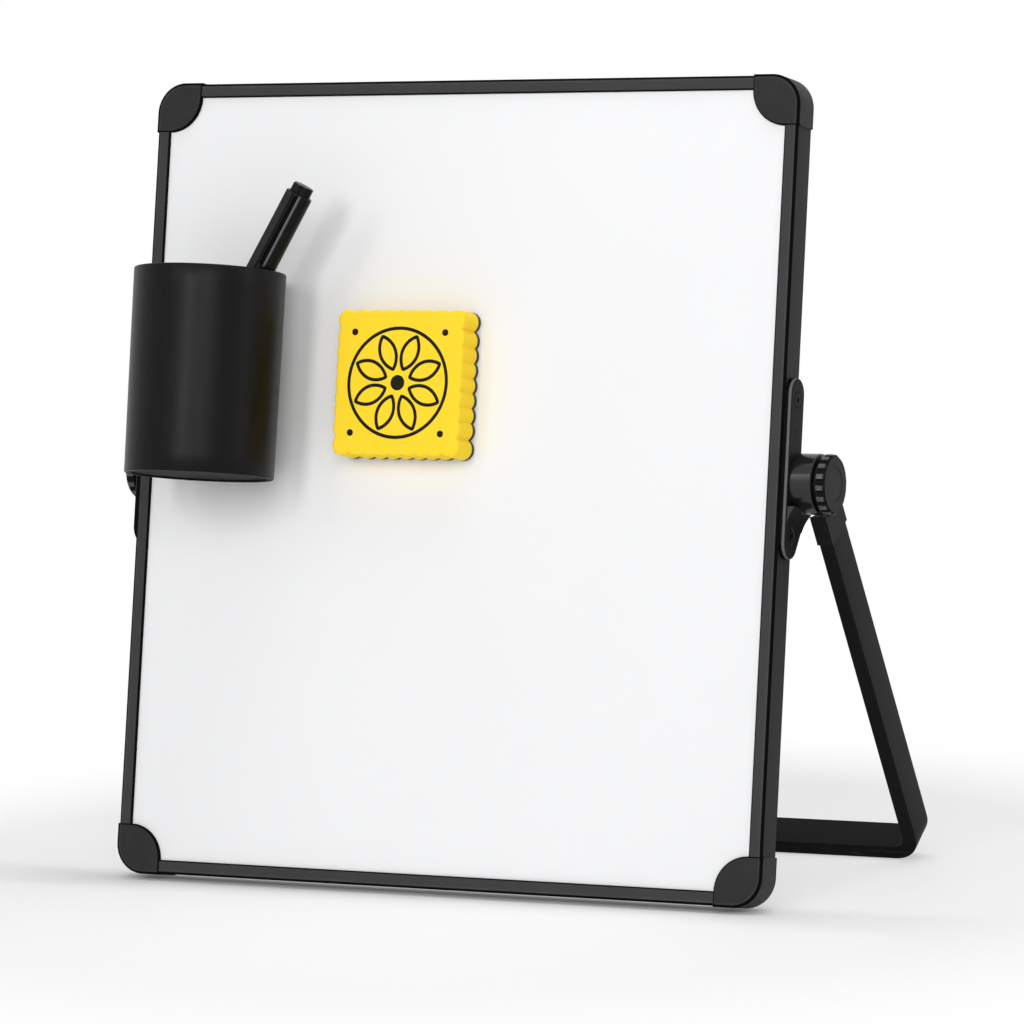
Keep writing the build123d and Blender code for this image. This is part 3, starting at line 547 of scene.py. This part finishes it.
# ---------------------------------------------------------------------------------
# Cup magnets. Two nickel-plated discs are pressed into the cup's flat pad, and a thin
# dimpled film over them keeps the enamel from scratches and gives the cup its grip.


def magnet_finish():
    finish = Finish("nickel_plated_magnet")
    ripple = finish.cloud(finish.place, 2 * mm, 3.0)
    finish.set(
        Base_Color=finish.tint(ripple, (0.56, 0.55, 0.52), (0.70, 0.69, 0.66)),
        Metallic=1.0,
        Roughness=ripple * 0.12 + 0.12,
        Normal=finish.relief(ripple, 0.01 * mm),
    )
    return finish


def film_finish():
    finish = Finish("anti_slip_film")
    dimples = finish.cells(finish.along_board(), 0.6 * mm)
    finish.set(
        Base_Color=finish.tint(dimples, (0.02, 0.02, 0.02), (0.045, 0.045, 0.045)),
        Roughness=dimples * 0.2 + 0.55,
        Normal=finish.relief(dimples, 0.04 * mm),
    )
    return finish


dress(magnet_finish(), "cup_magnets")
dress(film_finish(), "cup_pad")

# ---------------------------------------------------------------------------------
# Marker. A moulded barrel and a slotted cap in satin black, with a felt nib fed by a
# fibre reservoir. The cap's slot is painted dark as shade, and one edge beside it and
# the clip strip carry a painted highlight.

marker_up = Vector(joints["marker_lift"]["axis"]).normalized()
marker_out = into.cross(marker_up)
marker_turn = Matrix((marker_out, into, marker_up)).transposed().to_euler()
marker_sides = [corner.co.dot(marker_out) for corner in nodes["marker_barrel"].data.vertices]
marker_side = (min(marker_sides) + max(marker_sides)) / 2 - cup_axis_at.dot(marker_out)
marker_axis_at = cup_axis_at + marker_out * marker_side
marker_top = max(corner.co.dot(marker_up) for corner in nodes["marker_cap_shell"].data.vertices)
marker_end = marker_axis_at + marker_up * (marker_top - marker_axis_at.dot(marker_up))

# The cap's slot is turned a little round from the front. Its floor, the cap's side and
# the strip are measured from the marker's axis, and the edge with the painted highlight
# from its end.
slot_turn = math.radians(20)
slot_half_width = 0.95 * mm
slot_floor = 4.95 * mm
cap_side = 5.85 * mm
strip_side = 6.4 * mm
highlight_edge_low = -40 * mm
highlight_edge_high = -4.2 * mm


def marker_finish(name, shine):
    """Black plastic with painted shade in its slot, and a painted highlight on one edge beside it
    and on its strip.
    """
    finish = Finish(name)
    along = finish.seen_from(marker_end, marker_turn, (1, 1, 6))
    drag = finish.cloud(along, 0.7 * mm, 3.0, 0.6)
    skin = finish.cloud(finish.place, 0.35 * mm, 2.0)
    scuffs = finish.cloud(finish.place, 2.4 * mm, 5.0, 0.7).rise(0.5, 0.7)
    out, deep, high = finish.axes(finish.seen_from(marker_end, marker_turn))
    radius = reach(out, deep)
    beside = out * math.cos(slot_turn) + deep * math.sin(slot_turn)
    ahead = out * math.sin(slot_turn) - deep * math.cos(slot_turn)
    slotted_side = ahead.rise(0.0, 0.5 * mm)
    # Painted shade fills the slot. The edge beside it and the strip carry a painted highlight.
    slot = abs(beside).rise(slot_half_width + 0.2 * mm, slot_half_width) * slotted_side
    slot = slot * radius.rise(cap_side + 0.13 * mm, cap_side)
    slot = slot * radius.rise(slot_floor - 0.05 * mm, slot_floor)
    edge = beside.rise(0.9 * mm, 1.1 * mm) * beside.rise(2.3 * mm, 1.5 * mm) * slotted_side
    edge = edge * radius.rise(cap_side, cap_side + 0.1 * mm)
    edge = edge * high.rise(highlight_edge_low, highlight_edge_low + 2 * mm)
    edge = edge * high.rise(highlight_edge_high, highlight_edge_high - 0.4 * mm)
    strip_highlight = radius.rise(strip_side - 0.15 * mm, strip_side)
    tone = (scuffs * 0.04 + drag * 0.02 + edge * 0.9 + strip_highlight * 0.12) * (1 - slot)
    finish.set(
        Base_Color=finish.tint(tone, (0.0015, 0.0015, 0.0017), (0.14, 0.14, 0.143)),
        Roughness=shine + drag * 0.08 + scuffs * 0.08 + slot * 0.5,
        Normal=finish.relief(skin + drag * 0.5, 0.009 * mm),
        Specular_IOR_Level=0.1,
    )
    return finish


def wick_finish(name, dark, light):
    finish = Finish(name)
    along = finish.seen_from(marker_end, marker_turn, (1, 1, 12))
    strands = finish.cloud(along, 0.25 * mm, 3.0, 0.6)
    finish.set(
        Base_Color=finish.tint(strands, dark, light),
        Roughness=strands * 0.1 + 0.8,
        Normal=finish.relief(strands, 0.06 * mm),
        Sheen_Weight=0.3,
    )
    return finish


dress(marker_finish("marker_barrel_plastic", 0.28), "marker_barrel")
dress(marker_finish("marker_cap_plastic", 0.26), "marker_cap_shell")
inked_felt = wick_finish("inked_felt", (0.004, 0.004, 0.005), (0.02, 0.02, 0.022))
dress(inked_felt, "marker_nib")
reservoir_fibre = wick_finish("reservoir_fibre", (0.03, 0.03, 0.032), (0.12, 0.12, 0.12))
dress(reservoir_fibre, "marker_reservoir")

# ---------------------------------------------------------------------------------
# Eraser. A block of yellow foam with a scalloped edge, die-cut together with the
# sheet magnet and the black felt that are bonded to its back. The foam's cut front
# edge is soft and drawn in, so the scallops fade towards the face.

eraser_offset = -21.2 * mm  # from the middle of the board, across
eraser_rise = 42.4 * mm
eraser_turn = Matrix((right, up, -into)).transposed().to_4x4()
eraser_at = board_centre + right * eraser_offset + up * eraser_rise
eraser_place = Matrix.Translation(eraser_at) @ eraser_turn
sheet_depth = 1.4 * mm  # from the front of the rails back to the writing sheet
felt_thickness = 1.4 * mm
magnet_thickness = 0.6 * mm
foam_thickness = 13.5 * mm


class Rule(Graph):
    """A geometry tree with named inputs, which makes one kind of piece."""

    def __init__(self, name, **sizes):
        self.group = bpy.data.node_groups.new(name, "GeometryNodeTree")
        super().__init__(self.group)
        interface = self.group.interface
        interface.new_socket("Geometry", in_out="INPUT", socket_type="NodeSocketGeometry")
        interface.new_socket("Geometry", in_out="OUTPUT", socket_type="NodeSocketGeometry")
        self.keys = {}
        for size, value in sizes.items():
            kind = "NodeSocketInt" if isinstance(value, int) else "NodeSocketFloat"
            socket = interface.new_socket(size, in_out="INPUT", socket_type=kind)
            socket.default_value = value
            self.keys[size] = socket.identifier
        self.entry = self.tree.nodes.new("NodeGroupInput")

    def size(self, name):
        return Wire(self, self.entry.outputs[name])

    def deliver(self, shape, material):
        """Ends the tree with real geometry in one finish."""
        shape = self.node("GeometryNodeRealizeInstances", (), {"Geometry": shape})
        shape = self.node("GeometryNodeSetMaterial", (), {"Geometry": shape, "Material": material})
        self.node("NodeGroupOutput", (), {"Geometry": shape})

    def make(self, name, place, **sizes):
        """Runs the tree and returns a plain mesh object, with its place in its mesh."""
        seed = bpy.data.objects.new(name + "_seed", bpy.data.meshes.new(name + "_seed"))
        bpy.context.scene.collection.objects.link(seed)
        modifier = seed.modifiers.new("rule", "NODES")
        modifier.node_group = self.group
        for size, value in sizes.items():
            modifier[self.keys[size]] = value
        bpy.context.view_layer.update()
        ready = seed.evaluated_get(bpy.context.evaluated_depsgraph_get())
        mesh = bpy.data.meshes.new_from_object(ready)
        bpy.data.objects.remove(seed)
        mesh.name = name
        mesh.transform(place)
        piece = bpy.data.objects.new(name, mesh)
        bpy.context.scene.collection.objects.link(piece)
        return piece


def scalloped_block_rule(material):
    """A closed block with a scalloped outline, from a grid rolled round and pinched shut.

    The grid's x runs round the block, and its y from the middle of the back, over the
    side and the drawn-in front edge, to the middle of the front."""
    rule = Rule(
        "scalloped_block",
        Half_Width=31.55 * mm,
        Stretch=1.035,
        Lobe_Pitch=6.36 * mm,
        Lobe_Radius=4.7 * mm,
        Corner_Radius=4.6 * mm,
        Lobe_Height=1.24 * mm,
        Thickness=foam_thickness,
        Edge_Radius=1.3 * mm,
        Front_Fade=0.45,
        Fade_Depth=6.0 * mm,
        Side_Waist=0.35 * mm,
        Steps_Round=960,
        Steps_Across=64,
    )
    half = rule.size("Half_Width")
    pitch = rule.size("Lobe_Pitch")
    lobe = rule.size("Lobe_Radius")
    corner = rule.size("Corner_Radius")
    tall = rule.size("Lobe_Height")
    thick = rule.size("Thickness")
    edge = rule.size("Edge_Radius")
    sockets = {"Size X": 1.0, "Vertices X": rule.size("Steps_Round")}
    sockets.update({"Size Y": 1.0, "Vertices Y": rule.size("Steps_Across")})
    grid = rule.node("GeometryNodeMeshGrid", (), sockets)
    spot = rule.node("GeometryNodeInputPosition")
    along, across = (rule.node("ShaderNodeSeparateXYZ", (), {0: spot}, out) for out in (0, 1))
    angle = along * math.tau
    step = across + 0.5
    # Rounded square that the lobes stand on.
    base = half - tall
    turn = corner - tall
    flat = base - turn
    cosine = angle.maths("COSINE")
    sine = angle.maths("SINE")
    wide = abs(cosine).maths("MAXIMUM", abs(sine))
    narrow = abs(cosine).maths("MINIMUM", abs(sine))
    to_side = base / wide
    straight = flat * (wide + narrow)
    spare = (turn * turn - (flat * (wide - narrow)) ** 2).maths("MAXIMUM", 0.0)
    in_corner = (to_side * narrow).maths("GREATER_THAN", flat)
    distance = to_side + in_corner * (straight + spare ** 0.5 - to_side)
    x = distance * cosine
    y = distance * sine
    out_x = ((abs(x) - flat) / turn).maths("MINIMUM", 1.0).maths("MAXIMUM", 0.0) * x.maths("SIGN")
    out_y = ((abs(y) - flat) / turn).maths("MINIMUM", 1.0).maths("MAXIMUM", 0.0) * y.maths("SIGN")
    # Height of the lobes over that square.
    last_lobe = 3.0
    blend = 0.5 * mm
    place = abs(x).maths("MINIMUM", abs(y))
    number = (place / pitch).maths("ROUND").maths("MINIMUM", last_lobe)
    offset = place - number * pitch
    regular = (lobe * lobe - offset * offset).maths("MAXIMUM", 0.0) ** 0.5 - (lobe - tall)
    before = (flat - place).maths("MAXIMUM", 0.0)
    last = (corner * corner - before * before).maths("MAXIMUM", 0.0) ** 0.5 - (corner - tall)
    lobes = regular.maths("SMOOTH_MAX", last, blend)
    # Path from back to front: inset and depth of each step, with the shares of the
    # steps at which the back, the side and the rounded front edge end.
    back_end, side_end, edge_end = 0.16, 0.62, 0.78
    side = step.rise(back_end, side_end, kind="LINEAR")
    rounding = step.rise(side_end, edge_end, 0.0, math.pi / 2, kind="LINEAR")
    depth = side * (thick - edge) + rounding.maths("SINE") * edge
    waist = (side * math.pi).maths("SINE") * rule.size("Side_Waist")
    inset = (1 - rounding.maths("COSINE")) * edge + waist
    fade = 1 - rule.size("Front_Fade") * depth.rise(thick - rule.size("Fade_Depth"), thick)
    shrink = step.rise(0.0, back_end, kind="LINEAR")
    shrink = shrink * (1 - step.rise(edge_end, 1.0, kind="LINEAR"))
    outward = lobes * fade - inset
    wide_way = (x + out_x * outward) * shrink
    high_way = (y + out_y * outward) * shrink * rule.size("Stretch")
    moved = rule.node("ShaderNodeCombineXYZ", (), {0: wide_way, 1: high_way, 2: depth})
    shape = rule.node("GeometryNodeSetPosition", (), {"Geometry": grid, "Position": moved})
    welded = {"Geometry": shape, "Distance": 0.004 * mm}
    shape = rule.node("GeometryNodeMergeByDistance", (), welded)
    shape = rule.node("GeometryNodeSetShadeSmooth", (), {"Geometry": shape})
    rule.deliver(shape, material)
    return rule


def foam_finish():
    finish = Finish("yellow_foam")
    flat = finish.along_board()
    deep = finish.axes(flat)[1]
    pores = finish.cells(flat, 0.5 * mm)
    fine = finish.cloud(flat, 0.25 * mm, 3.0, 0.6)
    soft = finish.cloud(flat, 9 * mm, 3.0)
    side = deep.rise(-13.2 * mm, -11.5 * mm)
    cells = pores.rise(0.05, 0.5)
    tone = soft * 0.4 + fine * 0.15 + (1 - cells) * 0.15
    finish.set(
        Base_Color=finish.tint(tone, (1.0, 0.71, 0.034), (0.98, 0.66, 0.030)),
        Roughness=0.72 + fine * 0.12,
        Normal=finish.relief(cells * (side * 0.8 + 0.2) + fine * 0.3, 0.03 * mm),
        Specular_IOR_Level=0.1,
    )
    return finish


def felt_finish():
    finish = Finish("black_felt")
    fibres = finish.cloud(finish.along_board((1, 3, 1)), 0.3 * mm, 4.0, 0.7)
    finish.set(
        Base_Color=finish.tint(fibres, (0.006, 0.006, 0.006), (0.03, 0.03, 0.03)),
        Roughness=fibres * 0.08 + 0.88,
        Normal=finish.relief(fibres, 0.12 * mm),
        Sheen_Weight=0.25,
        Specular_IOR_Level=0.2,
    )
    return finish


def sheet_magnet_finish():
    finish = Finish("sheet_magnet")
    speckle = finish.cloud(finish.place, 0.4 * mm, 3.0)
    finish.set(
        Base_Color=finish.tint(speckle, (0.012, 0.012, 0.012), (0.035, 0.033, 0.032)),
        Roughness=speckle * 0.15 + 0.6,
        Normal=finish.relief(speckle, 0.03 * mm),
    )
    return finish


foam_back = -sheet_depth + felt_thickness + magnet_thickness
foam_rule = scalloped_block_rule(foam_finish().material)
foam = foam_rule.make("foam_block", eraser_place @ Matrix.Translation((0, 0, foam_back)))
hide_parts("eraser_foam")
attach(foam, "eraser")

felt_rule = scalloped_block_rule(felt_finish().material)
felt = felt_rule.make(
    "felt_pad",
    eraser_place @ Matrix.Translation((0, 0, -sheet_depth)),
    Thickness=felt_thickness,
    Edge_Radius=0.25 * mm,
    Front_Fade=0.0,
    Side_Waist=0.05 * mm,
    Steps_Across=26,
)
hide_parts("eraser_felt")
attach(felt, "eraser")
dress(sheet_magnet_finish(), "eraser_magnet")

# ---------------------------------------------------------------------------------
# Printed design on the foam's face: outlined petals round a solid centre, inside a
# ring, with a dot near each corner. The ink is screen printed and sits just proud.


def ink_finish():
    finish = Finish("black_screen_ink")
    flat = finish.along_board()
    pinholes = finish.cells(flat, 0.45 * mm)
    coverage = finish.cloud(flat, 3 * mm, 4.0, 0.6)
    finish.set(
        Base_Color=finish.tint(coverage, (0.006, 0.006, 0.006), (0.016, 0.015, 0.012)),
        Roughness=coverage * 0.15 + 0.55,
        Normal=finish.relief(pinholes, 0.02 * mm),
        Specular_IOR_Level=0.08,
    )
    return finish


def rosette_rule(material):
    """Outlined petals set in a ring, a solid centre and four corner dots."""
    rule = Rule(
        "printed_rosette",
        Petals=8,
        Petal_Length=15.5 * mm,
        Petal_Width=7.6 * mm,
        Petal_Start=6.4 * mm,
        Line_Width=1.5 * mm,
        Ink_Height=0.10 * mm,
        Centre_Radius=3.4 * mm,
        Ring_Radius=24.0 * mm,
        Corner_Dot=1.5 * mm,
        Corner_Offset=22.2 * mm,
    )
    petals = rule.size("Petals")
    length = rule.size("Petal_Length")
    line = rule.size("Line_Width")
    ink = rule.size("Ink_Height")
    centre_size = rule.size("Centre_Radius")
    dot_size = rule.size("Corner_Dot")
    spot = rule.node("GeometryNodeInputPosition")
    split_x, split_y = (rule.node("ShaderNodeSeparateXYZ", (), {0: spot}, out) for out in (0, 1))
    number = rule.node("GeometryNodeInputIndex")

    def vector(x=0.0, y=0.0, z=0.0):
        return rule.node("ShaderNodeCombineXYZ", (), {0: x, 1: y, 2: z})

    def circle(steps, radius):
        sockets = {"Resolution": steps, "Radius": radius}
        return rule.node("GeometryNodeCurvePrimitiveCircle", (), sockets)

    def ink_line(curve):
        sockets = {"Width": line, "Height": ink}
        ribbon = rule.node("GeometryNodeCurvePrimitiveQuadrilateral", (), sockets)
        sockets = {"Curve": curve, "Profile Curve": ribbon, "Fill Caps": False}
        return rule.node("GeometryNodeCurveToMesh", (), sockets)

    def copies(count, shape, **sockets):
        """Puts a copy of the shape on each of a count of points."""
        sockets.update(Instance=shape)
        spread = {"Count": count, "Position": sockets.pop("Position", (0, 0, 0))}
        sockets.update(Points=rule.node("GeometryNodePoints", (), spread))
        return rule.node("GeometryNodeInstanceOnPoints", (), sockets)

    # One petal: a circle drawn out to a point at both ends.
    tip = (1 - split_x * split_x).maths("MAXIMUM", 0.0) ** 0.35
    outline = vector(
        (split_x + 1) * length * 0.5 + rule.size("Petal_Start"),
        split_y * tip * rule.size("Petal_Width") * 0.5,
    )
    petal = {"Geometry": circle(96, 1.0), "Position": outline}
    petal = ink_line(rule.node("GeometryNodeSetPosition", (), petal))
    # The petals stand on points at the centre, each turned by its number.
    flower = copies(petals, petal, Rotation=vector(z=number * math.tau / petals + math.pi / 8))
    hoop = ink_line(circle(160, rule.size("Ring_Radius")))
    # Solid dots: the centre and the corners.
    dot = rule.node("GeometryNodeMeshCylinder", (), {"Vertices": 64, "Radius": 1.0, "Depth": ink})
    middle = copies(1, dot, Scale=vector(centre_size, centre_size, 1.0))
    quarter = number * (math.pi / 2) + math.pi / 4
    away = rule.size("Corner_Offset") * math.sqrt(2)
    corners = vector(quarter.maths("COSINE") * away, quarter.maths("SINE") * away)
    dots = copies(4, dot, Scale=vector(dot_size, dot_size, 1.0), Position=corners)
    joined = rule.tree.nodes.new("GeometryNodeJoinGeometry")
    for part in (flower, hoop, middle, dots):
        rule.tree.links.new(part.socket, joined.inputs[0])
    rule.deliver(Wire(rule, joined.outputs[0]), material)
    return rule


foam_front = foam_back + foam_thickness
print_place = eraser_place @ Matrix.Translation((0, 0, foam_front))
print_mark = rosette_rule(ink_finish().material).make("printed_rosette", print_place)
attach(print_mark, "eraser")

# ---------------------------------------------------------------------------------
# Desk and studio. A plain matt white surface runs far past the picture, and large
# soft boxes light the easel from the front, from both sides and from above.

desk_reach = 12.0
board_foot = (board_centre - up * half_height).y


def white_backing(graph):
    """1 for a ray that shows the studio itself, straight, in gloss or through glass."""
    straight = graph.node("ShaderNodeLightPath", out="Is Camera Ray")
    mirrored = graph.node("ShaderNodeLightPath", out="Is Glossy Ray")
    through = graph.node("ShaderNodeLightPath", out="Is Transmission Ray")
    return straight.maths("MAXIMUM", mirrored).maths("MAXIMUM", through)


def desk_finish():
    """Matt white near the easel, fading into the white of the studio further away."""
    finish = Finish("white_desk")
    grain = finish.cloud(finish.place, 40 * mm, 2.0)
    across, back = finish.axes(finish.place)[:2]
    off_foot = abs(back - board_foot).rise(2 * mm, 30 * mm, 0.0, 0.45)
    fade = reach(across, back).rise(140 * mm, 420 * mm).maths("MAXIMUM", off_foot)
    finish.set(
        Base_Color=finish.tint(grain, (0.93, 0.93, 0.93), (0.94, 0.94, 0.94)),
        Roughness=grain * 0.05 + 0.6,
        Specular_IOR_Level=0.1,
    )
    white = finish.node("ShaderNodeEmission", (), {"Color": (1, 1, 1, 1), "Strength": 1.0})
    shade = Wire(finish, finish.shader.outputs[0])
    sockets = {0: fade * white_backing(finish), 1: shade, 2: white}
    mixed = finish.node("ShaderNodeMixShader", (), sockets)
    finish.tree.links.new(mixed.socket, finish.output.inputs["Surface"])
    return finish


def desk():
    mesh = bpy.data.meshes.new("desk")
    shape = bmesh.new()
    bmesh.ops.create_grid(shape, x_segments=1, y_segments=1, size=desk_reach)
    shape.to_mesh(mesh)
    shape.free()
    mesh.materials.append(desk_finish().material)
    surface = bpy.data.objects.new("desk", mesh)
    bpy.context.scene.collection.objects.link(surface)


desk()


def soft_box(name, place, width, height, power):
    """A lamp of a width and height in metres and a power in watts, aimed at the easel."""
    aim = Vector((0, 0, 170 * mm))
    lamp = bpy.data.lights.new(name, "AREA")
    lamp.shape = "RECTANGLE"
    lamp.size = width
    lamp.size_y = height
    lamp.energy = power
    box = bpy.data.objects.new(name, lamp)
    box.location = place
    box.rotation_euler = (aim - Vector(place)).to_track_quat("-Z", "Y").to_euler()
    bpy.context.scene.collection.objects.link(box)


soft_box("front_soft_box", (-0.12, -2.2, 0.95), 0.36, 0.8, 12.5)
soft_box("half_right_soft_box", (0.95, -2.1, 1.15), 1.1, 1.1, 16.5)
soft_box("left_soft_box", (-0.87, -1.75, 1.3), 0.25, 0.8, 2.6)
soft_box("right_soft_box", (2.2, 0.25, 0.85), 1.0, 1.1, 6.0)
soft_box("top_soft_box", (0.1, 0.1, 1.9), 1.4, 1.2, 13.0)


def studio_air():
    """White for the camera and in reflections, and an even pale light elsewhere."""
    world = bpy.data.worlds.new("studio_air")
    bpy.context.scene.world = world
    world.use_nodes = True
    graph = Graph(world.node_tree)
    graph.tree.nodes.clear()
    pale = 0.27
    level = white_backing(graph).rise(0, 1, pale, 1.0, kind="LINEAR")
    air = graph.node("ShaderNodeBackground", (), {"Color": (1, 1, 1, 1), "Strength": level})
    graph.node("ShaderNodeOutputWorld", (), {"Surface": air})


studio_air()

scene = bpy.context.scene
scene.view_settings.view_transform = "Standard"


def photo_camera():
    """Long lens, low and to the right of the easel, as in the photograph."""
    # Radians, and a place measured from the middle of the board.
    yaw, pitch, roll = 0.460451, -0.108276, -0.03016
    seat = board_centre + Vector((1074.29, -2105.64, 243.24)) * mm
    focal_length = 190.82
    side = Vector((math.cos(yaw), math.sin(yaw), 0))
    level = Vector((-math.sin(yaw), math.cos(yaw), 0))
    ahead = level * math.cos(pitch) + Vector((0, 0, math.sin(pitch)))
    over = side.cross(ahead)
    to_right = side * math.cos(roll) + over * math.sin(roll)
    to_top = over * math.cos(roll) - side * math.sin(roll)
    columns = Matrix((to_right, to_top, -ahead)).transposed()
    lens = bpy.data.cameras.new("photo_camera")
    lens.sensor_width = 36
    lens.lens = focal_length
    lens.clip_end = 50
    camera = bpy.data.objects.new("photo_camera", lens)
    camera.matrix_world = Matrix.Translation(seat) @ columns.to_4x4()
    scene.collection.objects.link(camera)
    scene.camera = camera


photo_camera()
